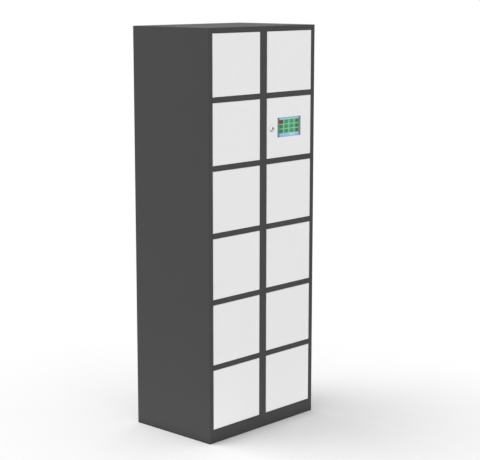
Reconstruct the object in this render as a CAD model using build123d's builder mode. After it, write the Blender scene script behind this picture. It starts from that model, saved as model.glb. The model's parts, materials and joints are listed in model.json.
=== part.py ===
"""A free-standing smart locker: a folded sheet-metal cabinet with two columns of six doors.

Eleven compartments have a rotary latch that a small computer releases. The twelfth, in the
right column, is the controller bay: its door carries a touch screen and a cam lock.

Everything is in millimetres. The origin is on the floor, in the middle of the footprint.
+X runs to the right as seen from the front, the front faces -Y, and +Z is up.
"""

import os
from math import cos, radians, sin

from build123d import *

os.makedirs("parts", exist_ok=True)

# Cabinet
cabinet_width = 684.0
cabinet_depth = 460.0
cabinet_height = 1802.0
row_count = 6
controller_row = 2
plinth_height = 60.0
top_rail_height = 22.0
rail_height = 21.5
side_post_width = 23.0
post_return_depth = 22.0
centre_post_width = 42.7
centre_return_depth = 16.0

# Sheet metal
sheet = 1.2
inner_bend_radius = 0.8
edge_break = 0.7
foot_flange_width = 20.0
duct_return_width = 12.0

# Doors
door_gap = 1.5
door_depth = 18.0
door_lip_width = 12.0
stiffener_width = 26.0
stiffener_end_gap = 6.0
stiffener_overlap = 1.0
stop_drop = 10.0
buffer_width = 7.0
buffer_length = 5.0
buffer_from_rail = 6.0
seating_gap = 0.3

# Hinges: a full-height rod in each door turns in the rails above and below it
hinge_rod_radius = 2.5
hinge_inset = 10.0
hinge_setback = 5.5
hinge_rod_overhang = 6.0
running_clearance = 0.1
press_clearance = 0.02

# Rotary latch
latch_case_thickness = 13.0
latch_case_depth = 46.0
latch_case_height = 70.0
latch_case_wall = 1.5
latch_front_gap = 2.0
latch_slot_height = 10.0
latch_slot_depth = 20.0
latch_pin_radius = 2.5
latch_pin_behind_stud = 21.0
latch_pin_below_stud = 12.0
latch_travel = 20.0
hook_thickness = 3.0
hook_hub_radius = 6.0
hook_arm_height = 7.0
hook_tip_thickness = 4.5
hook_stud_gap = 0.5
hook_tip_rise = 1.0
wire_hole_width = 10.0
latch_wire_hole_width = 8.0
latch_screw_radius = 3.5
latch_screw_height = 2.0
latch_screw_edge_distance = 7.0

# Striker on each latched door
striker_plate_thickness = 2.0
striker_side_gap = 3.65
striker_plate_height = 18.0
striker_foot_length = 20.0
striker_stud_radius = 2.5
striker_stud_depth = 14.0
striker_stud_end_gap = 3.15
striker_stud_edge = 5.0
striker_corner = 4.5

# Controller door
screen_width = 155.0
screen_height = 86.0
screen_glass_thickness = 3.0
screen_gap = 0.4
display_border = 8.0
display_depth = 14.0
display_lock_gap = 5.0
module_vent_width = 30.0
module_vent_height = 22.0
module_vent_spacing = 92.0
module_vent_depth = 3.5
clamp_length = 40.0
clamp_foot = 12.0
clamp_lip = 6.0
clamp_spacing = 90.0
lock_from_centre_post = 32.2

# Cam lock
lock_head_radius = 14.0
lock_head_height = 7.0
lock_face_radius = 9.0
lock_rim_height = 1.5
lock_barrel_radius = 9.0
lock_barrel_length = 20.0
lock_flats_width = 16.0
lock_plug_radius = 6.0
lock_plug_recess = 0.8
lock_nut_width = 24.0
lock_nut_thickness = 4.0
keyway_width = 1.8
keyway_height = 7.5
keyway_depth = 4.0
cam_length = 45.0
cam_width = 14.0
cam_thickness = 2.5
cam_gap = 1.0
cam_square = 6.5
cam_square_overhang = 1.0
cam_window_margin = 1.8

# Electronics in the controller bay
board_width = 180.0
board_height = 120.0
board_thickness = 1.6
board_standoff = 10.0
standoff_radius = 3.0
standoff_inset = 6.0
connector_count = 6
connector_length = 20.0
connector_width = 8.0
connector_height = 9.0
connector_pitch = 26.0
connector_inset = 9.0
heat_sink_width = 32.0
heat_sink_offset = 20.0
supply_width = 160.0
supply_depth = 98.0
supply_height = 42.0
supply_from_back = 60.0
supply_slot_length = 20.0
supply_slot_width = 5.0
supply_slot_depth = 2.0
supply_slot_pitch_x = 14.0
supply_slot_pitch_y = 28.0
supply_slot_columns = 8
supply_slot_rows = 3

# Back panel
vent_length = 60.0
vent_width = 5.0
vent_pitch = 12.0
vent_spacing = 80.0
vent_columns = 2
vent_rows = 3
vents_above_middle = 90.0
wall_hole_radius = 4.5
wall_hole_spacing_x = 480.0
wall_hole_spacing_z = 180.0
grommet_height = 40.0
grommet_hole_radius = 11.0
grommet_bore_radius = 6.0
grommet_flange = 3.0
grommet_flange_thickness = 1.5

# Sizes worked out from the ones above
front_y = -cabinet_depth / 2
back_y = cabinet_depth / 2
bend_radius = sheet + inner_bend_radius
half_width = cabinet_width / 2
wall_inside = half_width - sheet
post_inside = half_width - side_post_width
partition_side = centre_post_width / 2
tray_back_y = back_y - sheet
opening_width = post_inside - partition_side
column_middle = (post_inside + partition_side) / 2
rails_height = plinth_height + top_rail_height + (row_count - 1) * rail_height
opening_height = (cabinet_height - rails_height) / row_count
row_pitch = opening_height + rail_height
door_back_y = front_y + door_depth
hinge_distance = post_inside - door_gap - hinge_inset
hinge_y = front_y + hinge_setback
stop_y = door_back_y + buffer_length
latch_front_y = door_back_y + latch_front_gap
stud_y = latch_front_y + striker_stud_depth
pin_y = stud_y + latch_pin_behind_stud
case_side = partition_side + latch_case_thickness
striker_inside = case_side + striker_side_gap
striker_outside = striker_inside + striker_plate_thickness
stiffener_middle = striker_inside + stiffener_width / 2 - stiffener_overlap
wall_front_y = front_y + centre_return_depth
lock_distance = partition_side + lock_from_centre_post
nut_corner_radius = lock_nut_width / 2 / cos(radians(30))
display_half_width = screen_width / 2 + display_border
nearest_screen_middle = lock_distance + nut_corner_radius + display_lock_gap + display_half_width
screen_middle = max(column_middle, nearest_screen_middle)
display_half_height = screen_height / 2 + display_border

LEFT = -1
RIGHT = 1


def opening_bottom(row):
    """Height of the lower edge of a door opening. Row 1 is the top one."""
    return plinth_height + (row_count - row) * row_pitch


def opening_middle(row):
    """Height of the middle of a door opening."""
    return opening_bottom(row) + opening_height / 2


def block(x_range, y_range, z_range, mode=Mode.ADD):
    """A box between two values along each axis, in the part being built."""
    plane = Plane.XY.offset(min(z_range))
    with BuildSketch(plane) as outline:
        with Locations((sum(x_range) / 2, sum(y_range) / 2)):
            Rectangle(abs(x_range[1] - x_range[0]), abs(y_range[1] - y_range[0]))
    extrude(outline.sketch, amount=abs(z_range[1] - z_range[0]), mode=mode)


def spans(side, near, far):
    """The X range between two distances from the middle plane, on one side of it."""
    return (side * near, side * far)


def rod(origin, direction, radius, length, mode=Mode.ADD):
    """A round bar that starts at a point and runs along a direction."""
    with BuildSketch(Plane(origin=origin, z_dir=direction)) as section:
        Circle(radius)
    extrude(section.sketch, amount=length, mode=mode)


def finish(part, name):
    """Label a finished piece and write it as one STEP file."""
    part.label = name
    export_step(part, f"parts/{name}.step")


def door_stop(side, z_bottom):
    """The return under a rail and the tab folded down from it, which stops the door."""
    x_range = spans(side, partition_side, post_inside)
    block(x_range, (front_y, stop_y + sheet), (z_bottom, z_bottom + sheet))
    block(x_range, (stop_y, stop_y + sheet), (z_bottom - stop_drop, z_bottom))


def hinge_holes(z_bottom, height, sides=(LEFT, RIGHT)):
    """Clearance holes for the hinge rods, through every sheet between two heights."""
    for side in sides:
        start = (side * hinge_distance, hinge_y, z_bottom - sheet)
        rod(start, (0, 0, 1), hinge_rod_radius + running_clearance, height + 2 * sheet,
            mode=Mode.SUBTRACT)


def post_notches(z_bottom, height, sides=(LEFT, RIGHT)):
    """Front corners cut away where the side posts stand."""
    for side in sides:
        block(spans(side, post_inside, half_width), (front_y, front_y + post_return_depth),
              (z_bottom, z_bottom + height), mode=Mode.SUBTRACT)


# Side panel: one sheet, folded round into the front post
with BuildPart() as right_side_panel:
    with BuildSketch():
        with BuildLine():
            FilletPolyline(
                (post_inside, front_y + post_return_depth),
                (post_inside, front_y),
                (half_width, front_y),
                (half_width, back_y - sheet),
                radius=bend_radius,
            )
            offset(amount=sheet, side=Side.LEFT)
        make_face()
    extrude(amount=cabinet_height - sheet)
finish(right_side_panel.part, "right_side_panel")

with BuildPart() as left_side_panel:
    mirror(objects=right_side_panel.part, about=Plane.YZ)
finish(left_side_panel.part, "left_side_panel")

# Back panel, with wall fixings behind the top compartments and vents behind the controller
grommet_x = column_middle + opening_width / 4
grommet_z = opening_bottom(controller_row) + grommet_height
wall_hole_height = opening_middle(1)
with BuildPart() as back_panel:
    block((-half_width, half_width), (back_y - sheet, back_y), (0, cabinet_height - sheet))
    with BuildSketch(Plane.XZ.offset(-back_y)):
        with Locations((0, wall_hole_height)):
            with GridLocations(wall_hole_spacing_x, wall_hole_spacing_z, 2, 2):
                Circle(wall_hole_radius)
        with Locations((grommet_x, grommet_z)):
            Circle(grommet_hole_radius)
        with Locations((column_middle, opening_middle(controller_row) + vents_above_middle)):
            with GridLocations(vent_spacing, vent_pitch, vent_columns, vent_rows):
                Rectangle(vent_length, vent_width)
    extrude(amount=2 * sheet, both=True, mode=Mode.SUBTRACT)
finish(back_panel.part, "back_panel")

# Top: a plate over the side and back panels, folded down in front into the top rail
top_rail_bottom = cabinet_height - top_rail_height
with BuildPart() as top_panel:
    block((-half_width, half_width), (front_y, back_y), (cabinet_height - sheet, cabinet_height))
    block((-post_inside, post_inside), (front_y, front_y + sheet),
          (top_rail_bottom, cabinet_height))
    for side in (LEFT, RIGHT):
        door_stop(side, top_rail_bottom)
    hinge_holes(top_rail_bottom, sheet)
    top_edges = top_panel.faces().sort_by(Axis.Z)[-1].outer_wire().edges()
    chamfer(top_edges, length=edge_break)
finish(top_panel.part, "top_panel")

# Base: the floor of the bottom compartments, the plinth and the flanges that stand on the floor
with BuildPart() as base_pan:
    block((-wall_inside, wall_inside), (front_y, tray_back_y), (0, plinth_height))
    block((-wall_inside + sheet, wall_inside - sheet), (front_y + sheet, tray_back_y - sheet),
          (sheet, plinth_height - sheet), mode=Mode.SUBTRACT)
    block((-wall_inside + foot_flange_width, wall_inside - foot_flange_width),
          (front_y + foot_flange_width, tray_back_y - foot_flange_width),
          (0, sheet), mode=Mode.SUBTRACT)
    post_notches(0, plinth_height)
    hinge_holes(plinth_height - sheet, sheet)
    front_edges = base_pan.edges().filter_by(Axis.X).group_by(Axis.Y)[0]
    chamfer(front_edges.sort_by(Axis.Z)[-1], length=edge_break)
finish(base_pan.part, "base_pan")

# Centre post: the channel between the two columns of doors
with BuildPart() as centre_post:
    with BuildSketch(Plane.XY.offset(plinth_height)):
        with BuildLine():
            FilletPolyline(
                (-partition_side, wall_front_y),
                (-partition_side, front_y),
                (partition_side, front_y),
                (partition_side, wall_front_y),
                radius=bend_radius,
            )
            offset(amount=sheet, side=Side.LEFT)
        make_face()
    extrude(amount=top_rail_bottom - plinth_height)
finish(centre_post.part, "centre_post")

cam_plane_y = front_y + lock_barrel_length + cam_gap
cam_reach = (cam_length**2 - (lock_from_centre_post + sheet) ** 2) ** 0.5


def make_partition_wall(side):
    """A wall of the wire duct, which carries on from the centre post to the rear."""
    with BuildPart() as wall:
        with BuildSketch(Plane.XY.offset(plinth_height)) as profile:
            with BuildLine():
                FilletPolyline(
                    (side * partition_side, wall_front_y),
                    (side * partition_side, tray_back_y - sheet),
                    (side * (partition_side - duct_return_width), tray_back_y - sheet),
                    radius=bend_radius,
                )
                offset(amount=sheet, side=Side.LEFT if side == RIGHT else Side.RIGHT)
            make_face()
        extrude(profile.sketch, amount=cabinet_height - sheet - plinth_height)
        through = spans(side, partition_side - 2 * sheet, partition_side + sheet)
        block(through, (wall_front_y, stop_y + 2 * sheet), (top_rail_bottom, cabinet_height),
              mode=Mode.SUBTRACT)
        half = wire_hole_width / 2
        for row in range(1, row_count + 1):
            middle = opening_middle(row)
            block(through, (pin_y - half, pin_y + half), (middle - half, middle + half),
                  mode=Mode.SUBTRACT)
        if side == RIGHT:
            middle = opening_middle(controller_row)
            block(through,
                  (cam_plane_y - cam_window_margin,
                   cam_plane_y + cam_thickness + cam_window_margin),
                  (middle - cam_reach - cam_window_margin,
                   middle + cam_width / 2 + cam_window_margin),
                  mode=Mode.SUBTRACT)
    return wall.part


# Partition walls: a hole per row for the latch wires, and a window for the lock's cam
finish(make_partition_wall(LEFT), "partition_wall_left")
finish(make_partition_wall(RIGHT), "partition_wall_right")


def make_shelf(side, row):
    """A shelf tray under a compartment. Its front fold is the rail between two doors."""
    z_top = opening_bottom(row)
    z_bottom = z_top - rail_height
    with BuildPart() as shelf:
        block(spans(side, partition_side, wall_inside), (front_y, tray_back_y), (z_bottom, z_top))
        offset(amount=-sheet, openings=shelf.faces().sort_by(Axis.Z)[0])
        door_stop(side, z_bottom)
        post_notches(z_bottom - stop_drop, rail_height + stop_drop, sides=(side,))
        hinge_holes(z_bottom, rail_height, sides=(side,))
        rail_edges = shelf.edges().filter_by(Axis.X).group_by(Axis.Y)[0]
        chamfer(rail_edges, length=edge_break)
    return shelf.part


# Shelves: one pair to each rail
for row in range(1, row_count):
    pair = Compound(children=[make_shelf(LEFT, row), make_shelf(RIGHT, row)])
    finish(pair, f"shelf_pair_{row}")


def make_door(side, row):
    """A door pan with returned edges. Most have a hat stiffener behind the lock edge."""
    near = partition_side + door_gap
    far = post_inside - door_gap
    z_bottom = opening_bottom(row) + door_gap
    z_top = opening_bottom(row) + opening_height - door_gap
    middle = opening_middle(row)
    is_controller = side == RIGHT and row == controller_row
    with BuildPart() as door:
        block(spans(side, near, far), (front_y, door_back_y), (z_bottom, z_top))
        fillet(door.faces().sort_by(Axis.Y)[0].edges(), radius=bend_radius)
        block(spans(side, near + sheet, far - sheet), (front_y + sheet, door_back_y - sheet),
              (z_bottom + sheet, z_top - sheet), mode=Mode.SUBTRACT)
        block(spans(side, near + door_lip_width, far - door_lip_width),
              (door_back_y - sheet, door_back_y),
              (z_bottom + door_lip_width, z_top - door_lip_width), mode=Mode.SUBTRACT)
        rod((side * hinge_distance, hinge_y, z_bottom - sheet), (0, 0, 1),
            hinge_rod_radius + press_clearance, opening_height, mode=Mode.SUBTRACT)
        if is_controller:
            with BuildSketch(Plane.XZ.offset(-front_y)):
                with Locations((side * lock_distance, middle)):
                    Circle(lock_barrel_radius + press_clearance)
                    Rectangle(lock_flats_width + 2 * press_clearance, 3 * lock_barrel_radius,
                              mode=Mode.INTERSECT)
                with Locations((side * screen_middle, middle)):
                    Rectangle(screen_width + 2 * screen_gap, screen_height + 2 * screen_gap)
            extrude(amount=-2 * sheet, mode=Mode.SUBTRACT)
        else:
            half = stiffener_width / 2
            end = door_lip_width + stiffener_end_gap
            block(spans(side, stiffener_middle - half, stiffener_middle + half),
                  (front_y + sheet, door_back_y), (z_bottom + end, z_top - end))
            block(spans(side, stiffener_middle - half + sheet, stiffener_middle + half - sheet),
                  (front_y + sheet, door_back_y - sheet), (z_bottom + end, z_top - end),
                  mode=Mode.SUBTRACT)
    return door.part


def make_hinge_rod(side, row):
    """The rod that a door turns on. It reaches into the rails above and below."""
    z_bottom = opening_bottom(row) + door_gap - hinge_rod_overhang
    length = opening_height - 2 * door_gap + 2 * hinge_rod_overhang
    with BuildPart() as hinge:
        rod((side * hinge_distance, hinge_y, z_bottom), (0, 0, 1), hinge_rod_radius, length)
    return hinge.part


def make_display_clamps():
    """Four folded clamps, welded to the controller door, that hold the display module in."""
    edge = display_half_height + seating_gap
    lip_y = front_y + sheet + display_depth + seating_gap
    clamps = []
    for x in (screen_middle - clamp_spacing / 2, screen_middle + clamp_spacing / 2):
        for up in (-1, 1):
            with BuildPart() as clamp:
                x_range = (x - clamp_length / 2, x + clamp_length / 2)
                near = bay_middle + up * edge
                riser = bay_middle + up * (edge + sheet)
                block(x_range, (front_y + sheet, front_y + 2 * sheet),
                      sorted((near, bay_middle + up * (edge + clamp_foot))))
                block(x_range, (front_y + sheet, lip_y + sheet), sorted((near, riser)))
                block(x_range, (lip_y, lip_y + sheet),
                      sorted((bay_middle + up * (edge - clamp_lip), riser)))
            clamps.append(clamp.part)
    return clamps


def make_striker(side, row):
    """An angle plate on the door's stiffener, with the stud that the latch hook holds."""
    middle = opening_middle(row)
    half = striker_plate_height / 2
    plate_end_y = stud_y + striker_stud_radius + striker_stud_edge
    with BuildPart() as striker:
        with BuildSketch(Plane(origin=(side * striker_inside, 0, 0), z_dir=(side, 0, 0),
                               x_dir=(0, 1, 0))):
            with Locations(((door_back_y + plate_end_y) / 2, side * middle)):
                plate = Rectangle(plate_end_y - door_back_y, 2 * half)
            chamfer(plate.vertices().group_by(Axis.X)[-1], length=striker_corner)
        extrude(amount=striker_plate_thickness)
        block(spans(side, striker_inside, striker_inside + striker_foot_length),
              (door_back_y, door_back_y + striker_plate_thickness),
              (middle - half, middle + half))
        stud_length = striker_inside - partition_side - striker_stud_end_gap
        rod((side * striker_inside, stud_y, middle), (-side, 0, 0), striker_stud_radius,
            stud_length)
    return striker.part


def make_latch_case(side, row):
    """A flat latch case: hollow, with a slot for the striker stud and a pin for the hook."""
    middle = opening_middle(row)
    half = latch_case_height / 2
    wall = latch_case_wall
    case_back_y = latch_front_y + latch_case_depth
    with BuildPart() as case:
        block(spans(side, partition_side, case_side), (latch_front_y, case_back_y),
              (middle - half, middle + half))
        chamfer(case.edges().filter_by(Axis.X), length=wall)
        block(spans(side, partition_side + wall, case_side - wall),
              (latch_front_y + wall, case_back_y - wall),
              (middle - half + wall, middle + half - wall), mode=Mode.SUBTRACT)
        rod((side * partition_side, pin_y, middle - latch_pin_below_stud), (side, 0, 0),
            latch_pin_radius, latch_case_thickness)
        block(spans(side, partition_side, case_side),
              (latch_front_y, latch_front_y + latch_slot_depth),
              (middle - latch_slot_height / 2, middle + latch_slot_height / 2),
              mode=Mode.SUBTRACT)
        wire_half = latch_wire_hole_width / 2
        block(spans(side, partition_side, partition_side + wall),
              (pin_y - wire_half, pin_y + wire_half), (middle - wire_half, middle + wire_half),
              mode=Mode.SUBTRACT)
    return case.part


def make_hook(side, row):
    """The latch hook, drawn latched and then turned down about its pin to its open pose."""
    middle = opening_middle(row)
    tip_back = -latch_pin_behind_stud - striker_stud_radius - hook_stud_gap
    tip_front = tip_back - hook_tip_thickness
    arm_bottom = -hook_arm_height / 2
    start = partition_side + (latch_case_thickness - hook_thickness) / 2
    turn = radians(latch_travel)
    open_plane = Plane(origin=(side * start, pin_y, middle - latch_pin_below_stud),
                       z_dir=(1, 0, 0), x_dir=(0, cos(turn), sin(turn)))
    with BuildPart() as hook:
        with BuildSketch(open_plane):
            with BuildLine():
                Polyline(
                    (0, arm_bottom),
                    (tip_front + hook_tip_thickness, arm_bottom),
                    (tip_front, arm_bottom + hook_tip_thickness),
                    (tip_front, latch_pin_below_stud + hook_tip_rise),
                    (tip_back, latch_pin_below_stud + hook_tip_rise),
                    (tip_back, -arm_bottom),
                    (0, -arm_bottom),
                    close=True,
                )
            make_face()
            Circle(hook_hub_radius)
            Circle(latch_pin_radius + running_clearance, mode=Mode.SUBTRACT)
        extrude(amount=side * hook_thickness)
    return hook.part


def make_latch_screws(side, row):
    """The two hexagon-head screws that hold a latch case."""
    middle = opening_middle(row)
    offset_z = latch_case_height / 2 - latch_screw_edge_distance
    screws = []
    for z in (middle - offset_z, middle + offset_z):
        with BuildPart() as screw:
            with BuildSketch(Plane(origin=(side * case_side, pin_y, z), z_dir=(side, 0, 0))) as head:
                RegularPolygon(latch_screw_radius, 6)
            extrude(head.sketch, amount=latch_screw_height)
        screws.append(screw.part)
    return screws


# Doors, with a hinge rod each, and the latches
bay_bottom = opening_bottom(controller_row)
bay_middle = opening_middle(controller_row)
latch_cases = []
latch_screws = []
buffers = []
for side, column in ((LEFT, "left"), (RIGHT, "right")):
    for row in range(1, row_count + 1):
        buffer_x = side * (striker_outside + 2 * striker_foot_length)
        buffer_z = opening_bottom(row) + opening_height - buffer_from_rail
        with BuildPart() as door_buffer:
            block((buffer_x - buffer_width / 2, buffer_x + buffer_width / 2),
                  (stop_y - buffer_length + seating_gap, stop_y),
                  (buffer_z - buffer_width / 2, buffer_z + buffer_width / 2))
            chamfer(door_buffer.faces().sort_by(Axis.Y)[0].edges(), length=edge_break)
        buffers.append(door_buffer.part)
        fittings = [make_hinge_rod(side, row)]
        if side == RIGHT and row == controller_row:
            fittings.extend(make_display_clamps())
            finish(make_door(side, row), "controller_door")
            finish(Compound(children=fittings), "controller_door_fittings")
            continue
        fittings.append(make_striker(side, row))
        finish(make_door(side, row), f"door_{column}_{row}")
        finish(Compound(children=fittings), f"door_{column}_{row}_fittings")
        finish(make_hook(side, row), f"latch_hook_{column}_{row}")
        latch_cases.append(make_latch_case(side, row))
        latch_screws.extend(make_latch_screws(side, row))
finish(Compound(children=latch_cases), "latch_cases")
finish(Compound(children=latch_screws), "latch_screws")
finish(Compound(children=buffers), "door_buffers")

# Touch screen in the controller door
screen_plane = Plane(origin=(screen_middle, front_y, bay_middle), z_dir=(0, -1, 0),
                     x_dir=(1, 0, 0))
with BuildPart() as display_glass:
    with BuildSketch(screen_plane):
        Rectangle(screen_width, screen_height)
    extrude(amount=-screen_glass_thickness)
    chamfer(display_glass.faces().sort_by(Axis.Y)[0].edges(), length=edge_break / 2)
finish(display_glass.part, "display_glass")

with BuildPart() as display_module:
    with BuildSketch(screen_plane.offset(-sheet)):
        RectangleRounded(2 * display_half_width, 2 * display_half_height, display_border / 2)
    extrude(amount=-display_depth)
    with BuildSketch(screen_plane.offset(-sheet)):
        Rectangle(screen_width + 2 * screen_gap, screen_height + 2 * screen_gap)
    extrude(amount=sheet - screen_glass_thickness, mode=Mode.SUBTRACT)
    with BuildSketch(screen_plane.offset(-sheet - display_depth)):
        with GridLocations(module_vent_spacing, module_vent_height, 2, 1):
            Rectangle(module_vent_width, module_vent_height)
    extrude(amount=module_vent_depth, mode=Mode.SUBTRACT)
finish(display_module.part, "display_module")

# Cam lock in the controller door
lock_plane = Plane(origin=(lock_distance, front_y, bay_middle), z_dir=(0, -1, 0),
                   x_dir=(1, 0, 0))
lock_bore_radius = lock_plug_radius + running_clearance
with BuildPart() as lock_housing:
    with BuildSketch(Plane(origin=(lock_distance, front_y, bay_middle), z_dir=(0, 0, 1),
                           x_dir=(1, 0, 0))):
        with BuildLine():
            face = Line((lock_bore_radius, -lock_head_height), (lock_face_radius, -lock_head_height))
            dome = TangentArc(face @ 1, (lock_head_radius, -lock_rim_height), tangent=face % 1)
            Polyline(
                dome @ 1,
                (lock_head_radius, 0),
                (lock_barrel_radius, 0),
                (lock_barrel_radius, lock_barrel_length),
                (lock_bore_radius, lock_barrel_length),
                face @ 0,
            )
        make_face()
    revolve(axis=Axis((lock_distance, front_y, bay_middle), (0, 1, 0)))
    for side in (LEFT, RIGHT):
        block((lock_distance + side * lock_flats_width / 2, lock_distance + side * lock_head_radius),
              (front_y, front_y + lock_barrel_length),
              (bay_middle - lock_head_radius, bay_middle + lock_head_radius),
              mode=Mode.SUBTRACT)
finish(lock_housing.part, "lock_housing")

with BuildPart() as lock_nut:
    with BuildSketch(lock_plane.offset(-sheet)):
        RegularPolygon(lock_nut_width / 2, 6, major_radius=False)
        Circle(lock_barrel_radius + press_clearance, mode=Mode.SUBTRACT)
    extrude(amount=-lock_nut_thickness)
finish(lock_nut.part, "lock_nut")

cam_depth = lock_barrel_length + cam_gap
lock_plug_height = lock_head_height - lock_plug_recess
with BuildPart() as lock_plug:
    with BuildSketch(lock_plane.offset(lock_plug_height)):
        Circle(lock_plug_radius)
    extrude(amount=-lock_plug_height - cam_depth)
    with BuildSketch(lock_plane.offset(-cam_depth)):
        Rectangle(cam_square, cam_square)
    extrude(amount=-cam_thickness - cam_square_overhang)
    with BuildSketch(lock_plane.offset(lock_plug_height)):
        Rectangle(keyway_width, keyway_height)
    extrude(amount=-keyway_depth, mode=Mode.SUBTRACT)
finish(lock_plug.part, "lock_plug")

with BuildPart() as lock_cam:
    with BuildSketch(lock_plane.offset(-cam_depth)):
        with Locations((0, -cam_length / 2 + cam_width / 4)):
            SlotOverall(cam_length + cam_width / 2, cam_width, rotation=90)
        Rectangle(cam_square + 2 * press_clearance, cam_square + 2 * press_clearance,
                  mode=Mode.SUBTRACT)
    extrude(amount=-cam_thickness)
finish(lock_cam.part, "lock_cam")

# Control board on standoffs on the back panel, with a row of connectors and a heat sink
board_plane = Plane(origin=(column_middle, back_y - sheet, bay_middle), z_dir=(0, -1, 0),
                    x_dir=(1, 0, 0))
with BuildPart() as control_board:
    with BuildSketch(board_plane):
        with GridLocations(board_width - 2 * standoff_inset, board_height - 2 * standoff_inset,
                           2, 2):
            Circle(standoff_radius)
    extrude(amount=board_standoff)
    with BuildSketch(board_plane.offset(board_standoff)):
        Rectangle(board_width, board_height)
    extrude(amount=board_thickness)
    with BuildSketch(board_plane.offset(board_standoff + board_thickness)):
        with Locations((0, board_height / 2 - connector_inset)):
            with GridLocations(connector_pitch, 0, connector_count, 1):
                Rectangle(connector_length, connector_width)
        with Locations((-heat_sink_offset, -heat_sink_offset / 2)):
            Rectangle(heat_sink_width, heat_sink_width)
    extrude(amount=connector_height)
finish(control_board.part, "control_board")

# Power supply on the floor of the bay, with vents in its lid
supply_back_y = tray_back_y - supply_from_back
supply_top = bay_bottom + supply_height
with BuildPart() as power_supply:
    block((column_middle - supply_width / 2, column_middle + supply_width / 2),
          (supply_back_y - supply_depth, supply_back_y), (bay_bottom, supply_top))
    with BuildSketch(Plane.XY.offset(supply_top)):
        with Locations((column_middle, supply_back_y - supply_depth / 2)):
            with GridLocations(supply_slot_pitch_x, supply_slot_pitch_y, supply_slot_columns,
                               supply_slot_rows):
                Rectangle(supply_slot_width, supply_slot_length)
    extrude(amount=-supply_slot_depth, mode=Mode.SUBTRACT)
finish(power_supply.part, "power_supply")

# Rubber grommet in the back panel's cable hole
with BuildPart() as cable_grommet:
    flange_radius = grommet_hole_radius + grommet_flange
    lip = grommet_flange_thickness
    with BuildSketch(Plane(origin=(grommet_x, back_y, grommet_z), z_dir=(0, 0, 1),
                           x_dir=(1, 0, 0))):
        with BuildLine():
            Polyline(
                (grommet_bore_radius, lip),
                (flange_radius, lip),
                (flange_radius, 0),
                (grommet_hole_radius, 0),
                (grommet_hole_radius, -sheet),
                (flange_radius, -sheet),
                (flange_radius, -sheet - lip),
                (grommet_bore_radius, -sheet - lip),
                close=True,
            )
        make_face()
    revolve(axis=Axis((grommet_x, back_y, grommet_z), (0, 1, 0)))
finish(cable_grommet.part, "cable_grommet")
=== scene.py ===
# %% [markdown]
# # Dressing a smart locker
# The cabinet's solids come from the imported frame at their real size, in metres. This script adds
# what a solid model can't hold: painted, plated and moulded finishes, the picture on the touch
# screen, the small parts of the control board, a floor, soft light, and a camera. The frame is
# loaded first and never moved.

# %% Load the frame
import json
import math

import bmesh
import bpy
import numpy as np
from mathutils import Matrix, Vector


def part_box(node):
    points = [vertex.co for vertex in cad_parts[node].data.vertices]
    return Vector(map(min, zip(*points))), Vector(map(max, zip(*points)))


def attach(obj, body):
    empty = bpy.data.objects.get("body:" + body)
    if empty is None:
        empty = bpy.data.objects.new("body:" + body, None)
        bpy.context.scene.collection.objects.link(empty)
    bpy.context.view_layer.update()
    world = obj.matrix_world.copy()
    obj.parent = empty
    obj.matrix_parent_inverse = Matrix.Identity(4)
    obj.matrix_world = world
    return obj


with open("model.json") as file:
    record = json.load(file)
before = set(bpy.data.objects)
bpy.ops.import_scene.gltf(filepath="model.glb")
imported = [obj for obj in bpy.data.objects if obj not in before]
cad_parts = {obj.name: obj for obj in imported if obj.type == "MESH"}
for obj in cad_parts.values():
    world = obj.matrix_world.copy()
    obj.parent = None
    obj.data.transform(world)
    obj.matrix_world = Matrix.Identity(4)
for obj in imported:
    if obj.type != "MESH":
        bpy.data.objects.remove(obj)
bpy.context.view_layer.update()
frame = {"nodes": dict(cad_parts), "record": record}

nodes = frame["nodes"]

# %% [markdown]
# ## Colours
# A designer picks paint on a screen, in sRGB from 0 to 255, but the renderer adds light in
# linear values. Writing those numbers and converting them once keeps both readable.


# %% Colour helper
def srgb(red, green, blue):
    """sRGB values from 0 to 255 as linear RGBA: below 10 a straight line, above it a 2.4 power."""
    value = np.array([red, green, blue]) / 255.0
    linear = np.where(value <= 0.04045, value / 12.92, ((value + 0.055) / 1.055) ** 2.4)
    return (*map(float, linear), 1.0)


anthracite = srgb(65, 65, 66)
signal_white = srgb(243, 243, 243)
print("paint", anthracite[:3], signal_white[:3])

# %% [markdown]
# ## Nodes
# A material is a graph of nodes. Drawn by hand it soon fills the screen, and a script keeps it as
# short as a formula. An input takes either a link or a plain value, so one helper tells the two
# apart and everything else builds on it.


# %% Node helpers
def fill(tree, node, inputs):
    """Feed a node's inputs, by name or number: a socket is linked and a plain value is set."""
    for key, value in inputs.items():
        if isinstance(value, bpy.types.NodeSocket):
            tree.links.new(value, node.inputs[key])
        else:
            node.inputs[key].default_value = value


def put(tree, kind, inputs=None, **settings):
    """A new node. Its settings are made before its inputs, because they choose its sockets."""
    node = tree.nodes.new(kind)
    for name, value in settings.items():
        setattr(node, name, value)
    fill(tree, node, inputs or {})
    return node


def maths(tree, operation, first, second=0.0, third=0.0):
    """One maths node. Its result is returned as a socket."""
    node = put(tree, "ShaderNodeMath", {0: first, 1: second, 2: third}, operation=operation)
    return node.outputs[0]


print("node helpers: fill, put and maths")

# %% [markdown]
# ## Patterns
# A pattern could be a picture, but that blurs close up and needs unwrapping. Noise worked out at
# each point does not. It reads Object coordinates, which are metres here, so a scale of 1000
# means about one cell to each millimetre, on every piece alike.


# %% Pattern helpers
def object_coordinates(tree):
    """The surface point in metres, in the object's own frame."""
    return put(tree, "ShaderNodeTexCoord").outputs["Object"]


def noise(tree, point, scale, detail=2.0, roughness=0.5):
    """Smooth noise from 0 to 1. The scale is in cells to the metre."""
    node = put(tree, "ShaderNodeTexNoise", {"Vector": point, "Scale": scale, "Detail": detail,
                                            "Roughness": roughness})
    return node.outputs["Fac"]


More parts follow.
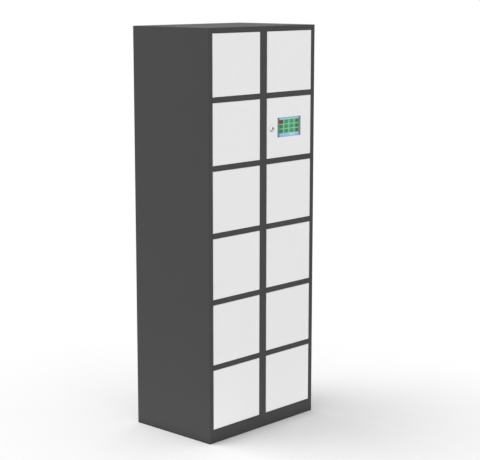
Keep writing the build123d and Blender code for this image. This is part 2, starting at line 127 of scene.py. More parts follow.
def ramp(tree, value, start, end, low=0.0, high=1.0):
    """A straight change from low at the start value to high at the end value, and level beyond."""
    node = put(tree, "ShaderNodeMapRange", {"Value": value, "From Min": start, "From Max": end,
                                            "To Min": low, "To Max": high})
    return node.outputs[0]


def around_zero(tree, value):
    """A value from 0 to 1, less a half, so that it raises as much as it lowers."""
    return maths(tree, "SUBTRACT", value, 0.5)


print("pattern helpers: object_coordinates, noise, ramp and around_zero")

# %% [markdown]
# ## From a pattern to a finish
# A pattern is only a number at each point. It becomes a finish when it mixes two colours, sets the
# roughness, or stands for a height whose slope tilts the surface's normal. That tilt gives grain
# without adding a single face.


# %% Colour and relief helpers
def blend_colours(tree, factor, first, second):
    """A colour between two others: the first where the factor is 0, the second where it is 1."""
    node = put(tree, "ShaderNodeMix", {0: factor, 6: first, 7: second}, data_type="RGBA")
    return node.outputs[2]


def relief(tree, height, strength, distance):
    """A normal tilted by the slope of a height, which the distance turns into metres."""
    node = put(tree, "ShaderNodeBump", {"Height": height, "Strength": strength,
                                        "Distance": distance})
    return node.outputs[0]


def new_material(name):
    """An empty node material. Returns the material, its tree and its shader."""
    material = bpy.data.materials.new(name)
    material.use_nodes = True
    return material, material.node_tree, material.node_tree.nodes["Principled BSDF"]


print("finish helpers: blend_colours, relief and new_material")

# %% [markdown]
# ## Powder coat
# The cabinet is sheet steel, powder coated and baked. The powder melts into a skin with a fine
# orange peel, about one bump to a millimetre, over a very slow waviness of the sheet itself.
# Two noises make the height, a third, very fine one is the powder's speckle, and a fourth, broad
# one changes the tone and the gloss by a few percent, as handling and dust do. Both paints share
# this, so it is a node group with its own inputs.


# %% Group helper
def new_group(name, inputs, outputs):
    """A shader node group. The inputs are name: default, the outputs name: socket type."""
    group = bpy.data.node_groups.new(name, "ShaderNodeTree")
    for label, default in inputs.items():
        kind = "NodeSocketColor" if isinstance(default, tuple) else "NodeSocketFloat"
        socket = group.interface.new_socket(label, in_out="INPUT", socket_type=kind)
        socket.default_value = default
    for label, kind in outputs.items():
        group.interface.new_socket(label, in_out="OUTPUT", socket_type=kind)
    return group, group.nodes.new("NodeGroupInput").outputs, group.nodes.new("NodeGroupOutput")


print("group helper: new_group")

# %% Powder coat group
peel_depth, sway_depth = 0.00006, 0.0022
sways_per_metre, specks_per_metre, clouds_per_metre = 3.2, 2600.0, 7.0
speck_share = 0.5
powder_coat, given, result = new_group(
    "powder_coat",
    {"Colour": (0.5, 0.5, 0.5, 1.0), "Tone change": 0.05, "Peel per metre": 900.0,
     "Roughness": 0.4, "Roughness change": 0.06},
    {"Colour": "NodeSocketColor", "Roughness": "NodeSocketFloat", "Height": "NodeSocketFloat"},
)
point = object_coordinates(powder_coat)
peel = noise(powder_coat, point, given["Peel per metre"], roughness=0.55)
sway = noise(powder_coat, point, sways_per_metre, detail=1.0)
height = maths(powder_coat, "MULTIPLY_ADD", peel, peel_depth,
               maths(powder_coat, "MULTIPLY", sway, sway_depth))
speck = around_zero(powder_coat, noise(powder_coat, point, specks_per_metre, detail=1.0))
cloud = around_zero(powder_coat, noise(powder_coat, point, clouds_per_metre, detail=5.0,
                                       roughness=0.6))
mottle = maths(powder_coat, "MULTIPLY_ADD", speck, speck_share, cloud)
tone = maths(powder_coat, "MULTIPLY_ADD", mottle, given["Tone change"], 1.0)
toned = put(powder_coat, "ShaderNodeVectorMath", {0: given["Colour"], "Scale": tone},
            operation="SCALE").outputs[0]
gloss = maths(powder_coat, "MULTIPLY_ADD", cloud, given["Roughness change"], given["Roughness"])
fill(powder_coat, result, {"Colour": toned, "Roughness": gloss, "Height": height})
print(powder_coat.name, "has", len(powder_coat.nodes), "nodes")

# %% [markdown]
# ## Edge wear and painted highlight
# Paint is thinnest on folded edges, and hands and parcels rub there first, so they turn a little
# lighter. The lighter folds are also a painted highlight, in place of the light a rounded edge
# would catch. Painting that by hand would mean every fold of sixty pieces. The Bevel node finds
# them instead: it looks at the surface within a small radius, and where the normal found there
# leaves the true one there is an edge. Their dot product gives a mask, broken up by noise.

# %% Edge wear group
# The lighter folds are partly wear and partly painted highlight.
flat_dot, edge_dot = 0.995, 0.85
patches_per_metre, sound_below, worn_above = 60.0, 0.35, 0.65
edge_wear_and_highlight, given, result = new_group(
    "edge_wear_and_highlight",
    {"Colour": (0.5, 0.5, 0.5, 1.0), "Worn and highlight colour": (0.7, 0.7, 0.7, 1.0), "Radius": 0.0012,
     "Amount": 0.5},
    {"Colour": "NodeSocketColor"},
)
rounded = put(edge_wear_and_highlight, "ShaderNodeBevel", {"Radius": given["Radius"]}, samples=4).outputs[0]
true_normal = put(edge_wear_and_highlight, "ShaderNodeNewGeometry").outputs["Normal"]
facing = put(edge_wear_and_highlight, "ShaderNodeVectorMath", {0: rounded, 1: true_normal},
             operation="DOT_PRODUCT").outputs["Value"]
edge = ramp(edge_wear_and_highlight, facing, flat_dot, edge_dot)
patches = noise(edge_wear_and_highlight, object_coordinates(edge_wear_and_highlight), patches_per_metre, detail=4.0)
patchy = ramp(edge_wear_and_highlight, patches, sound_below, worn_above)
mask = maths(edge_wear_and_highlight, "MULTIPLY", maths(edge_wear_and_highlight, "MULTIPLY", edge, patchy), given["Amount"])
worn = blend_colours(edge_wear_and_highlight, mask, given["Colour"], given["Worn and highlight colour"])
fill(edge_wear_and_highlight, result, {"Colour": worn})
print(edge_wear_and_highlight.name, "has", len(edge_wear_and_highlight.nodes), "nodes")

# %% [markdown]
# ## Two paints
# The cabinet is anthracite and its doors are light grey. Both are the same powder in another
# colour, so one function makes them from the two groups. The doors are a little smoother and more
# even, because they are flat panels that get wiped.

# %% Two paints
wear_and_highlight_amount = 0.35


def painted(name, colour, worn_and_highlight_colour, roughness, tone_change):
    """Powder-coated sheet steel, worn and with a painted highlight at its folds."""
    material, tree, shader = new_material(name)
    coat = put(tree, "ShaderNodeGroup", {"Colour": colour, "Roughness": roughness,
                                         "Tone change": tone_change},
               node_tree=powder_coat).outputs
    wear = put(tree, "ShaderNodeGroup", {"Colour": coat["Colour"], "Worn and highlight colour": worn_and_highlight_colour,
                                         "Amount": wear_and_highlight_amount}, node_tree=edge_wear_and_highlight).outputs
    fill(tree, shader, {"Base Color": wear["Colour"], "Roughness": coat["Roughness"],
                        "Normal": relief(tree, coat["Height"], strength=0.35, distance=1.0),
                        "Specular IOR Level": 0.25})
    return material


# The second colour of each paint is its lighter folds: partly wear, partly painted highlight.
cabinet_paint = painted("anthracite_powder_coat", anthracite, srgb(120, 120, 122),
                        roughness=0.65, tone_change=0.10)
door_paint = painted("light_grey_powder_coat", signal_white, srgb(245, 245, 245),
                     roughness=0.42, tone_change=0.03)
print("paints:", cabinet_paint.name, "and", door_paint.name)

# %% [markdown]
# ## Zinc plating
# The rods, strikers, latches and screws are zinc plated. Zinc grows in crystals, which show as a
# faint patchwork of tone and gloss. A Voronoi pattern deals out such patches, one to about four
# millimetres.


# %% Zinc
def zinc_plated(name):
    """Bright zinc plating, whose crystal patches differ in tone and gloss."""
    material, tree, shader = new_material(name)
    point = object_coordinates(tree)
    crystals = put(tree, "ShaderNodeTexVoronoi", {"Vector": point, "Scale": 260.0})
    patch = put(tree, "ShaderNodeSeparateColor", {0: crystals.outputs["Color"]}).outputs[0]
    grain = noise(tree, point, scale=1400.0, detail=3.0)
    fill(tree, shader, {
        "Base Color": blend_colours(tree, patch, srgb(176, 178, 180), srgb(206, 207, 206)),
        "Roughness": ramp(tree, patch, 0.0, 1.0, low=0.28, high=0.42),
        "Metallic": 1.0,
        "Normal": relief(tree, grain, strength=0.12, distance=0.0003)})
    return material


zinc = zinc_plated("zinc_plated_steel")
print("plating:", zinc.name)

# %% [markdown]
# ## The chrome lock
# Chrome shows only what it mirrors, and an all-white studio would leave it flat. The lock should
# look light at its upper left and dark at its lower right, so its colour has painted shade where
# the surface turns down or to the right. The slot for the key is painted near-black as its shadow,
# and the seam round the plug is painted dark. Both are found by their distance from the lock's
# axis, which the plug's box gives.

# %% Places on the lock
plug_low, plug_high = map(np.array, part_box("lock_plug"))
plug_middle = (plug_low + plug_high) / 2
plug_radius, seam_half = 0.0060, 0.0003
keyway_half_width, keyway_half_height = 0.0010, 0.0038
# The near-black is painted shadow in the key slot, and also the dark colour of the seam.
plug_grey, keyway_shadow_and_seam = srgb(158, 160, 163), srgb(24, 24, 26)
print("lock axis at x and z", plug_middle[[0, 2]])


# %% The plug's face
def band(tree, value, middle, half):
    """1 where a value is within half of the middle, and 0 beyond."""
    offset = maths(tree, "ABSOLUTE", maths(tree, "SUBTRACT", value, float(middle)))
    return maths(tree, "LESS_THAN", offset, float(half))


def plug_face(tree, point, rim_with_painted_shade):
    """A duller disc inside the rim, with a dark seam round it and painted shadow in the upright
    keyway.

    The distance from the axis is the root of across squared plus up squared."""
    place = put(tree, "ShaderNodeSeparateXYZ", {0: point}).outputs
    across = maths(tree, "SUBTRACT", place["X"], float(plug_middle[0]))
    up = maths(tree, "SUBTRACT", place["Z"], float(plug_middle[2]))
    squares = maths(tree, "ADD", maths(tree, "POWER", across, 2.0), maths(tree, "POWER", up, 2.0))
    from_axis = maths(tree, "SQRT", squares)
    disc = maths(tree, "LESS_THAN", from_axis, plug_radius)
    seam = band(tree, from_axis, plug_radius, seam_half)
    keyway = maths(tree, "MULTIPLY", band(tree, across, 0.0, keyway_half_width),
                   band(tree, up, 0.0, keyway_half_height))
    colour = blend_colours(tree, disc, rim_with_painted_shade, plug_grey)
    # Painted shadow: the keyway's recess and the seam are coloured near-black.
    return blend_colours(tree, maths(tree, "MAXIMUM", keyway, seam), colour, keyway_shadow_and_seam)


print("plug of radius", plug_radius, "metres")


# %% Chrome
rightward_share = -0.45
shade_from_to = (0.15, -0.45)
# Painted shade: the rim's colour turns towards this grey where the surface faces down or right.
painted_shade_chrome = srgb(118, 120, 124)


def polished_chrome(name):
    """Chrome plating with fine hairlines, and painted shade where it faces the ground or the right.

    How far it faces the light is the normal's z less a share of its x."""
    material, tree, shader = new_material(name)
    point = object_coordinates(tree)
    stretched = put(tree, "ShaderNodeMapping", {0: point, "Scale": (1.0, 1.0, 9.0)}).outputs[0]
    hairline = noise(tree, stretched, scale=700.0, detail=4.0)
    bright = blend_colours(tree, hairline, srgb(232, 233, 234), srgb(250, 250, 250))
    normal = put(tree, "ShaderNodeNewGeometry").outputs["Normal"]
    facing = put(tree, "ShaderNodeSeparateXYZ", {0: normal}).outputs
    to_light = maths(tree, "MULTIPLY_ADD", facing["X"], rightward_share, facing["Z"])
    # Painted shade: 0 where the surface faces the light, 1 where it turns down or to the right.
    painted_shade_share = ramp(tree, to_light, *shade_from_to)
    rim_with_painted_shade = blend_colours(tree, painted_shade_share, bright, painted_shade_chrome)
    fill(tree, shader, {
        "Base Color": plug_face(tree, point, rim_with_painted_shade),
        "Roughness": ramp(tree, hairline, 0.0, 1.0, low=0.10, high=0.24),
        "Metallic": 1.0,
        "Normal": relief(tree, hairline, strength=0.05, distance=0.0002)})
    return material


chrome = polished_chrome("polished_chrome")
print("plating:", chrome.name)

# %% [markdown]
# ## Rubber and moulded plastic
# Rubber buffers and the grommet are dark, rough and dusted a little grey. Moulded housings have
# the grain that spark erosion leaves in the mould. Both are a fine grain over an uneven tone, so
# one function makes them.


# %% Rubber and plastic
def moulded(name, dark, light, roughness, grain_scale, grain_depth, change=0.08):
    """Rubber or plastic with a moulded grain and a slightly uneven tone."""
    material, tree, shader = new_material(name)
    point = object_coordinates(tree)
    cloud = noise(tree, point, scale=35.0, detail=3.0)
    grain = noise(tree, point, grain_scale, detail=3.0)
    fill(tree, shader, {
        "Base Color": blend_colours(tree, cloud, dark, light),
        "Roughness": ramp(tree, cloud, 0.0, 1.0, low=roughness - change, high=roughness + change),
        "Normal": relief(tree, grain, strength=0.3, distance=grain_depth)})
    return material


rubber = moulded("black_rubber", srgb(26, 26, 26), srgb(44, 43, 42),
                 roughness=0.75, grain_scale=900.0, grain_depth=0.0004)
black_plastic = moulded("black_moulded_plastic", srgb(20, 20, 21), srgb(30, 30, 31),
                        roughness=0.5, grain_scale=1500.0, grain_depth=0.0002)
print("moulded:", rubber.name, "and", black_plastic.name)

# %% [markdown]
# ## Circuit board
# The control board is one solid with one slot, so its material tells its pieces apart by their
# place. Behind the board are brass standoffs, on it a green skin over copper tracks, and in front
# of it connectors along the top edge and a heat sink below. A Voronoi pattern deals out square
# patches, and each patch runs its tracks upright or level, as a router lays them.

# %% Places on the board
board_low, board_high = map(np.array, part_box("control_board"))
board_middle = (board_low + board_high) / 2
standoff, board_thickness, connector_height = 0.0100, 0.0016, 0.0150
board_rear = float(board_high[1]) - standoff
board_face = board_rear - board_thickness
connectors_from = float(board_high[2]) - connector_height
print("board face at y", round(board_face, 4), "connectors above z", round(connectors_from, 4))

# %% Copper tracks
tracks_per_metre, track_share = 420.0, 0.42
upright_below, level_above = 0.45, 0.60


def stripes(tree, value, per_metre, share):
    """1 over a share of each period and 0 over the rest: the fraction of a saw-tooth wave."""
    wave = maths(tree, "FRACT", maths(tree, "MULTIPLY", value, per_metre))
    return maths(tree, "LESS_THAN", wave, share)


def copper_tracks(tree, point, place):
    """A mask of parallel tracks: upright in some square patches, level in others, none between."""
    patch = put(tree, "ShaderNodeTexVoronoi", {"Vector": point, "Scale": 55.0, "Randomness": 0.6},
                distance="CHEBYCHEV").outputs["Color"]
    pick = put(tree, "ShaderNodeSeparateColor", {0: patch}).outputs[0]
    upright = maths(tree, "MULTIPLY", stripes(tree, place["X"], tracks_per_metre, track_share),
                    maths(tree, "LESS_THAN", pick, upright_below))
    level = maths(tree, "MULTIPLY", stripes(tree, place["Z"], tracks_per_metre, track_share),
                  maths(tree, "GREATER_THAN", pick, level_above))
    return maths(tree, "MAXIMUM", upright, level)


print("tracks", round(1000.0 / tracks_per_metre, 2), "mm apart")

# %% Board material
place_margin = 0.0002
grain_share, track_height = 0.04, 0.05
brass = srgb(196, 164, 96)


def circuit_board(name):
    """Solder mask and tracks, with plastic, aluminium and brass chosen by place."""
    material, tree, shader = new_material(name)
    point = object_coordinates(tree)
    place = put(tree, "ShaderNodeSeparateXYZ", {0: point}).outputs
    tracks = copper_tracks(tree, point, place)
    grain = noise(tree, point, scale=700.0, detail=3.0)
    in_front = maths(tree, "LESS_THAN", place["Y"], board_face - place_margin)
    behind = maths(tree, "GREATER_THAN", place["Y"], board_rear + place_margin)
    is_top = maths(tree, "GREATER_THAN", place["Z"], connectors_from)
    skin = blend_colours(tree, tracks, srgb(14, 70, 34), srgb(34, 112, 58))
    plastic = blend_colours(tree, grain, srgb(214, 210, 196), srgb(228, 225, 214))
    aluminium = blend_colours(tree, grain, srgb(150, 152, 156), srgb(174, 176, 180))
    component = blend_colours(tree, is_top, aluminium, plastic)
    colour = blend_colours(tree, in_front, skin, component)
    sink = maths(tree, "MULTIPLY", in_front, maths(tree, "SUBTRACT", 1.0, is_top))
    on_board = maths(tree, "MULTIPLY", tracks, maths(tree, "SUBTRACT", 1.0, in_front))
    height = maths(tree, "MULTIPLY_ADD", grain, grain_share,
                   maths(tree, "MULTIPLY", on_board, track_height))
    fill(tree, shader, {
        "Base Color": blend_colours(tree, behind, colour, brass),
        "Roughness": ramp(tree, grain, 0.0, 1.0, low=0.28, high=0.42),
        "Metallic": maths(tree, "MAXIMUM", sink, behind),
        "Normal": relief(tree, height, strength=0.5, distance=0.0008)})
    return material


board_green = circuit_board("green_circuit_board")
print("board:", board_green.name)

# %% [markdown]
# ## The picture on the touch screen
# The screen shows one tile to each door: green where a locker is free, red where it is taken.
# It is light, not paint, so it goes into the shader's emission, under a smooth dark glass. The
# tiles come from maths on the point's place: two saw-tooth waves count the columns and rows,
# and the distance to each tile's middle draws its rounded edge. Behind them a mint glow turns
# pale blue towards the top and bottom bars and slate blue at the left and right edges. Where a
# colour changes is given from 0 in the screen's middle to 1 at its edge.

# %% Places on the screen
glass_low, glass_high = map(np.array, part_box("display_glass"))
screen_middle = (glass_low + glass_high) / 2
half_screen = (glass_high - glass_low) / 2
middle_x, middle_z = float(screen_middle[0]), float(screen_middle[2])
tile_columns, tile_rows = 4, 3
tile_pitch, tile_size = (0.0352, 0.0208), (0.0312, 0.0184)
tile_corner, edge_softness = 0.0022, 0.0004
grid_left, grid_top = middle_x - 0.0698, middle_z + 0.0328
glint_offset = 0.0150
key_size, key_corner = 0.0050, 0.0010
key_middle = (middle_x - 0.0010, middle_z - 0.0355)
green_from_to, bars_from_to, glint_from_to = (0.15, 0.85), (0.45, 0.85), (0.0, 0.5)
rim_from_to, edges_from_to = (0.88, 1.06), (0.70, 1.02)
print("screen", (glass_high - glass_low)[[0, 2]], "with", tile_columns * tile_rows, "tiles")


# %% Shapes on the screen
def from_middle(tree, value, middle, half):
    """How far a coordinate is from the middle: 0 there and 1 at the edge."""
    offset = maths(tree, "ABSOLUTE", maths(tree, "SUBTRACT", value, float(middle)))
    return maths(tree, "DIVIDE", offset, float(half))


def soft_step(tree, value, low, high):
    """0 below the low value, 1 above the high one, and a smooth S between them."""
    return put(tree, "ShaderNodeMapRange", {"Value": value, "From Min": low, "From Max": high},
               interpolation_type="SMOOTHSTEP").outputs[0]


def rounded_box(tree, offsets, sizes, corner):
    """A mask of a rounded rectangle. The offsets are sockets, measured from its middle.

    How far the point is beyond the straight part is found on each axis, and the root of the sum
    of their squares is less than the corner's radius inside the box."""
    squares = []
    for offset, size in zip(offsets, sizes):
        beyond = maths(tree, "SUBTRACT", maths(tree, "ABSOLUTE", offset), size / 2 - corner)
        squares.append(maths(tree, "POWER", maths(tree, "MAXIMUM", beyond, 0.0), 2.0))
    distance = maths(tree, "SQRT", maths(tree, "ADD", *squares))
    return ramp(tree, distance, corner, corner - edge_softness)


print("shape helpers: from_middle, soft_step and rounded_box")


# %% Tiles
def tile_picture(tree, place, glow):
    """Twelve tiles over the glow, the first one red and the others green.

    The whole part of a place divided by the pitch counts columns and rows, and its fraction is
    the place inside one tile."""
    column = maths(tree, "DIVIDE", maths(tree, "SUBTRACT", place["X"], grid_left), tile_pitch[0])
    row = maths(tree, "DIVIDE", maths(tree, "SUBTRACT", grid_top, place["Z"]), tile_pitch[1])
    offsets = []
    for value, pitch, size in zip((column, row), tile_pitch, tile_size):
        along = maths(tree, "MULTIPLY", maths(tree, "FRACT", value), pitch)
        offsets.append(maths(tree, "SUBTRACT", along, size / 2))
    tile = rounded_box(tree, offsets, tile_size, tile_corner)
    for value, count in ((column, tile_columns), (row, tile_rows)):
        inside = maths(tree, "MULTIPLY", maths(tree, "GREATER_THAN", value, 0.0),
                       maths(tree, "LESS_THAN", value, float(count)))
        tile = maths(tree, "MULTIPLY", tile, inside)
    is_first = maths(tree, "MULTIPLY", maths(tree, "LESS_THAN", column, 1.0),
                     maths(tree, "LESS_THAN", row, 1.0))
    side_place = from_middle(tree, place["X"], middle_x, half_screen[0])
    green = blend_colours(tree, soft_step(tree, side_place, *green_from_to),
                          srgb(58, 158, 88), srgb(40, 122, 34))
    colour = blend_colours(tree, is_first, green, srgb(122, 6, 10))
    return blend_colours(tree, tile, glow, colour)


print("tiles of", tile_size, "metres")


# %% Glow behind the tiles
def screen_glow(tree, place):
    """Mint in the middle, pale blue bars above and below, and slate blue edges at the sides."""
    side_place = from_middle(tree, place["X"], middle_x, half_screen[0])
    height_place = from_middle(tree, place["Z"], middle_z, half_screen[2])
    glint_place = from_middle(tree, place["X"], middle_x + glint_offset, half_screen[0])
    upper = maths(tree, "GREATER_THAN", place["Z"], middle_z)
    lower_bar = blend_colours(tree, soft_step(tree, glint_place, *glint_from_to),
                              srgb(164, 226, 240), srgb(152, 190, 242))
    bar_colour = blend_colours(tree, upper, lower_bar, srgb(152, 200, 214))
    rim = soft_step(tree, height_place, *rim_from_to)
    bar_colour = blend_colours(tree, rim, bar_colour, srgb(96, 118, 172))
    bars = soft_step(tree, height_place, *bars_from_to)
    edges = soft_step(tree, side_place, *edges_from_to)
    glow = blend_colours(tree, bars, srgb(138, 212, 192), bar_colour)
    edge_colour = blend_colours(tree, bars, srgb(74, 100, 112), srgb(62, 68, 120))
    return blend_colours(tree, edges, glow, edge_colour)


print("glow over", (glass_high - glass_low)[0], "metres")


# %% Screen material
def touch_screen(name):
    """The backlit picture and a small key below it, under dark glass smeared by fingers."""
    material, tree, shader = new_material(name)
    point = object_coordinates(tree)
    place = put(tree, "ShaderNodeSeparateXYZ", {0: point}).outputs
    picture = tile_picture(tree, place, screen_glow(tree, place))
    key_offsets = [maths(tree, "SUBTRACT", place[axis], middle)
                   for axis, middle in zip("XZ", key_middle)]
    key = rounded_box(tree, key_offsets, (key_size, key_size), key_corner)
    smear = noise(tree, point, scale=55.0, detail=4.0)
    fill(tree, shader, {
        "Base Color": blend_colours(tree, smear, srgb(12, 14, 18), srgb(18, 20, 24)),
        "Emission Color": blend_colours(tree, key, picture, srgb(104, 132, 160)),
        "Emission Strength": 0.85,
        "Roughness": ramp(tree, smear, 0.0, 1.0, low=0.06, high=0.16)})
    return material


screen = touch_screen("touch_screen")
print("screen:", screen.name)

# %% [markdown]
# ## Putting the finishes on
# Each solid names its own material slot in the record, so one table sends every solid to its
# finish.

# %% Assign finishes
finishes = {
    "cabinet_paint": cabinet_paint,
    "door_paint": door_paint,
    "zinc": zinc,
    "chrome": chrome,
    "rubber": rubber,
    "screen": screen,
    "black_plastic": black_plastic,
    "board": board_green,
}
for part in frame["record"]["subparts"]:
    solid = nodes[part["node"]]
    for material_slot in solid.material_slots:
        material_slot.material = finishes[part["material_slot"]]

# %% [markdown]
# ## Numbers on the tiles
# Each tile carries its door's number. A font is the quickest way to good figures. The text is
# made a thin solid at once, because a flat film would be an open mesh, and it is moved by its
# vertices, so its object stays at the origin. It stands a tenth of a millimetre out of the glass.

# %% Ink
number_ink, ink_tree, ink_shader = new_material("screen_number_ink")
ink_noise = noise(ink_tree, object_coordinates(ink_tree), scale=400.0)
fill(ink_tree, ink_shader, {
    "Base Color": blend_colours(ink_tree, ink_noise, srgb(18, 44, 16), srgb(28, 58, 26)),
    "Roughness": 0.3})
print("ink:", number_ink.name)


# %% Closed seams
def close_seams(mesh, proud, reach=0.00001):
    """Merge the points where a text's flat faces and its sides only meet, and turn the edges
    inside the flat faces, so that no triangle is left without an area.

    A flat face is one whose middle is as far out as the number is proud."""
    shell = bmesh.new()
    shell.from_mesh(mesh)
    bmesh.ops.remove_doubles(shell, verts=shell.verts, dist=reach)
    bmesh.ops.triangulate(shell, faces=shell.faces)
    flat = {face for face in shell.faces if abs(face.calc_center_median().z) > proud - reach}
    inner = [edge for edge in shell.edges if flat.issuperset(edge.link_faces)]
    bmesh.ops.beautify_fill(shell, faces=list(flat), edges=inner)
    shell.to_mesh(mesh)
    shell.free()


print("seam helper: close_seams")


# %% One figure
def figure(text, centre, size, proud, thickening=0.03):
    """A thin solid number, proud to the front and as deep behind its centre.

    The font's X stays X, its Y becomes Z and its Z becomes -Y, which is a turn and no mirror."""
    curve = bpy.data.curves.new("figure", "FONT")
    curve.body = text
    curve.size = size
    curve.align_x = "CENTER"
    curve.align_y = "CENTER"
    curve.resolution_u = 3
    curve.offset = size * thickening
    curve.extrude = proud
    holder = bpy.data.objects.new("figure_source", curve)
    bpy.context.scene.collection.objects.link(holder)
    mesh = bpy.data.meshes.new_from_object(holder)
    bpy.data.objects.remove(holder)
    close_seams(mesh, proud)
    flat = np.empty(len(mesh.vertices) * 3)
    mesh.vertices.foreach_get("co", flat)
    across, up, out = flat.reshape(-1, 3).T
    placed = np.column_stack((across, -out, up)) + np.array(centre)
    mesh.vertices.foreach_set("co", placed.ravel())
    mesh.update()
    return mesh


print("figures in", number_ink.name)


# %% A piece of the object
def show(name, mesh, body):
    """Put a mesh into the scene as a piece that rides on a body."""
    piece = bpy.data.objects.new(name, mesh)
    bpy.context.scene.collection.objects.link(piece)
    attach(piece, body)
    return piece


print("piece helper: show")

# %% Twelve numbers
figure_size, figure_proud = 0.0125, 0.0001
glass_face = float(glass_low[1])
number = 0
for row in range(tile_rows):
    for column in range(tile_columns):
        number += 1
        tile_x = grid_left + column * tile_pitch[0] + tile_size[0] / 2
        tile_z = grid_top - row * tile_pitch[1] - tile_size[1] / 2
        mesh = figure(str(number), (tile_x, glass_face, tile_z), figure_size, figure_proud)
        mesh.materials.append(number_ink)
        show(f"tile_number_{number}", mesh, "controller_door")
print(number, "numbers, the last at", round(tile_x, 4), round(tile_z, 4))

# %% [markdown]
# ## Small parts of the control board
# The solid board carries its large parts. Chips, relays and capacitors are too many and too small
# for it, and so are the fins of its heat sink. A cube or a cylinder could be added for each, but
# one way makes them all here: a flat outline in x and z is carried along y. A chip's or a fin's
# outline has four corners, and a capacitor's is a circle.


# %% A carried outline
def box_outline(middle, size):
    """Four corners anticlockwise: the middle plus or minus half of the size."""
    signs = np.array([(-1, -1), (1, -1), (1, 1), (-1, 1)])
    return middle + signs * np.array(size) / 2


def round_outline(middle, radius, sides=24):
    """A circle of points: middle plus radius times the cosine and the sine of the turn."""
    turn = np.linspace(0.0, 2.0 * np.pi, sides, endpoint=False)
    return middle + radius * np.column_stack((np.cos(turn), np.sin(turn)))


def carried(outline, near, far, first):
    """Points and faces of an outline in x and z carried from y = near to y = far.

    Each side face joins a point and the next one at both ends, and the outline closes each end.
    An outline that runs anticlockwise, seen from the front, turns every face outwards."""
    count = len(outline)
    across, up = outline.T
    points = np.vstack([np.column_stack((across, np.full(count, y), up)) for y in (near, far)])
    here = first + np.arange(count)
    beside = np.roll(here, -1)
    sides = np.column_stack((here, here + count, beside + count, beside))
    return points, [*sides.tolist(), here.tolist(), (here + count)[::-1].tolist()]


print("a can has", len(carried(round_outline((0.0, 0.0), 1.0), 0.0, 1.0, 0)[1]), "faces")


# %% Many outlines in one mesh
def carried_mesh(name, outlines, material):
    """One mesh of many outlines, each carried between its own two ends.

    The points are stacked, so the faces of each outline count on from the points before it."""
    points, faces = np.empty((0, 3)), []
    for outline, near, far in outlines:
        next_points, next_faces = carried(outline, near, far, len(points))
        points = np.vstack((points, next_points))
        faces += next_faces
    mesh = bpy.data.meshes.new(name)
    mesh.from_pydata(points.tolist(), [], faces)
    mesh.materials.append(material)
    return mesh


print("mesh helper: carried_mesh")

# %% Chips and cans
# Places are across and up from the board's middle. Sizes are width, height and depth for a chip,
# and radius and depth for a can.
chips = {
    "processor": (0.040, -0.005, 0.018, 0.018, 0.0018),
    "memory": (0.066, 0.014, 0.010, 0.007, 0.0018),
    "network chip": (0.066, -0.004, 0.010, 0.007, 0.0018),
    "clock": (0.012, 0.026, 0.012, 0.006, 0.0020),
    "upper relay": (-0.062, 0.016, 0.020, 0.010, 0.0090),
    "middle relay": (-0.062, -0.004, 0.020, 0.010, 0.0090),
    "lower relay": (-0.062, -0.024, 0.020, 0.010, 0.0090),
    "bus driver": (0.034, -0.034, 0.006, 0.010, 0.0012),
}
cans = {
    "input capacitor": (0.008, -0.040, 0.0050, 0.0085),
    "small capacitor": (-0.010, -0.042, 0.0040, 0.0080),
    "output capacitor": (0.060, -0.036, 0.0050, 0.0085),
}
board_centre = board_middle[[0, 2]]
small_parts = [(box_outline(board_centre + (across, up), (width, tall)), board_face - depth,
                board_face) for across, up, width, tall, depth in chips.values()]
small_parts += [(round_outline(board_centre + (across, up), radius), board_face - depth,
                 board_face) for across, up, radius, depth in cans.values()]
chip_mesh = carried_mesh("board_chips", small_parts, black_plastic)
show("board_chips", chip_mesh, "cabinet")
print(len(chips), "chips and", len(cans), "cans with", len(chip_mesh.polygons), "faces")

# %% [markdown]
# ## Fins on the heat sink
# A heat sink sheds its heat through thin fins. Stripes in a bump would only pretend to be fins,
# and from the side they would be flat, so these are real plates: upright, evenly spread over the
# solid's block, and rooted a little inside it so that no gap shows. They wear the board's own
# material, which is aluminium in that place.

# %% Fins
sink_width, sink_middle = 0.032, board_centre + (-0.020, -0.010)
fin_count, fin_thickness, fin_depth, fin_root = 9, 0.0012, 0.0060, 0.0002
sink_face = float(board_low[1])
spread = np.linspace(-0.5, 0.5, fin_count) * (sink_width - fin_thickness)
fins = [(box_outline(sink_middle + (across, 0.0), (fin_thickness, sink_width)),
         sink_face - fin_depth, sink_face + fin_root) for across in spread]
fin_mesh = carried_mesh("heat_sink_fins", fins, board_green)
show("heat_sink_fins", fin_mesh, "cabinet")
print(fin_count, "fins", round(float(spread[1] - spread[0]) * 1000, 2), "mm apart")

# %% [markdown]
# ## Floor
# A product photograph stands on a pale sweep that melts into white. The floor is one large
# square that takes the soft shadow.

# %% Floor
floor_half = 30.0
floor_mesh = bpy.data.meshes.new("floor")
corners = np.array([(-1, -1, 0), (1, -1, 0), (1, 1, 0), (-1, 1, 0)], dtype=float) * floor_half
floor_mesh.from_pydata(corners.tolist(), [], [(0, 1, 2, 3)])
floor = bpy.data.objects.new("floor", floor_mesh)
bpy.context.scene.collection.objects.link(floor)
floor_material, floor_tree, floor_shader = new_material("pale_floor")
floor_grain = noise(floor_tree, object_coordinates(floor_tree), scale=3.0, detail=3.0)
fill(floor_tree, floor_shader, {
    "Base Color": blend_colours(floor_tree, floor_grain, srgb(252, 252, 252),
                                srgb(254, 254, 254)),
    "Roughness": 0.9, "Specular IOR Level": 0.1})
floor_mesh.materials.append(floor_material)
print("floor", 2 * floor_half, "metres wide")

# %% [markdown]
# ## Background and even light
# The world does two things at once. To the camera, and in whatever the chrome and the glass
# mirror, it is plain white. To everything else it is an even light, a little weaker than white,
# which leaves room for the lamps.

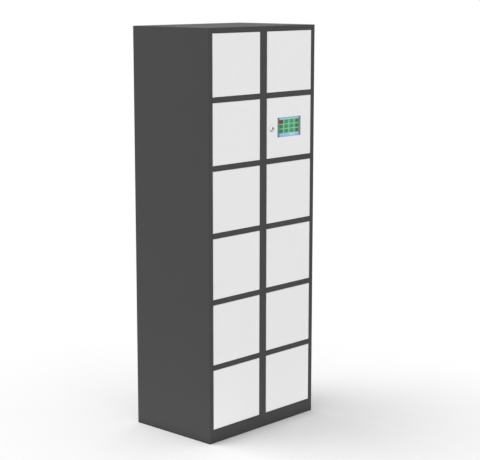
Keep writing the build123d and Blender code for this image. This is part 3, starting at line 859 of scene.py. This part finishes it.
# %% World
ambient = 0.74
world = bpy.data.worlds.new("studio")
bpy.context.scene.world = world
world.use_nodes = True
sky_tree = world.node_tree
path = put(sky_tree, "ShaderNodeLightPath").outputs
seen = maths(sky_tree, "MAXIMUM", path["Is Camera Ray"], path["Is Glossy Ray"])
seen = maths(sky_tree, "MAXIMUM", seen, path["Is Transmission Ray"])
fill(sky_tree, sky_tree.nodes["Background"], {
    "Color": (1.0, 1.0, 1.0, 1.0),
    "Strength": maths(sky_tree, "MULTIPLY_ADD", seen, 1.0 - ambient, ambient)})
print("even light", ambient, "of white")

# %% [markdown]
# ## Soft light
# The even world gives three quarters of the light. The rest comes from one broad lamp high up
# behind the cabinet's left: it makes the top the lightest face, lights the lock's rim, and lays a
# long, faint shadow to the right. A distant lamp lights the whole floor alike, so the floor stays
# white up to the horizon. Its wide angle makes the shadow's edge soft.


# %% Lamp
def distant_lamp(name, bearing, height, strength, width):
    """A lamp in the sky. Bearing, height and width are in degrees, the bearing from +X to +Y."""
    lamp = bpy.data.lights.new(name, "SUN")
    lamp.energy = strength
    lamp.angle = math.radians(width)
    holder = bpy.data.objects.new(name, lamp)
    holder.rotation_euler = (0.0, math.radians(90.0 - height), math.radians(bearing))
    bpy.context.scene.collection.objects.link(holder)
    print(name, "of strength", strength)


distant_lamp("key_light", bearing=121.0, height=58.0, strength=1.14, width=45.0)

# %% [markdown]
# ## White boards on the floor
# In the photograph the lowest doors are as bright as the top ones, and the dark side even grows
# lighter towards the floor. The cabinet's own shadow would dim both. A photographer lays white
# boards on the floor to throw light back up. Two flat area lamps that face upwards do that here:
# they lie just above the floor, so they light the cabinet and leave the floor's shadow alone.


# %% Boards
def floor_board(name, low, high, brightness, lift=0.005):
    """An upward lamp over a floor rectangle. The power of a flat lamp is pi x brightness x area."""
    board = bpy.data.lights.new(name, "AREA")
    board.shape = "RECTANGLE"
    board.size = high[0] - low[0]
    board.size_y = high[1] - low[1]
    board.energy = math.pi * brightness * board.size * board.size_y
    holder = bpy.data.objects.new(name, board)
    holder.location = ((low[0] + high[0]) / 2, (low[1] + high[1]) / 2, lift)
    holder.rotation_euler = (math.pi, 0.0, 0.0)
    holder.visible_camera = False
    holder.visible_glossy = False
    bpy.context.scene.collection.objects.link(holder)
    print(name, round(board.energy, 2), "watts")


floor_board("front_board", (-0.35, -0.53), (0.60, -0.25), brightness=0.40)
floor_board("left_board", (-1.11, -0.35), (-0.36, 0.35), brightness=0.60)

# %% [markdown]
# ## Camera
# The photograph was taken from the cabinet's front left, a little above the top, with a long
# lens: its vertical lines stay almost upright. A frame fitted to the cabinet's edges gives the
# place, the turn and the lens.

# %% Camera
camera_place = (-4.4639, -4.2604, 1.9813)
camera_turn, camera_dip = -46.941, 10.1205
camera_data = bpy.data.cameras.new("camera")
camera_data.sensor_fit = "HORIZONTAL"
camera_data.sensor_width = 36.0
camera_data.lens = 103.40
camera_data.clip_end = 200.0
camera = bpy.data.objects.new("camera", camera_data)
camera.location = camera_place
camera.rotation_euler = (math.radians(90.0 - camera_dip), 0.0, math.radians(camera_turn))
bpy.context.scene.collection.objects.link(camera)
bpy.context.scene.camera = camera
bpy.context.scene.view_settings.view_transform = "Standard"
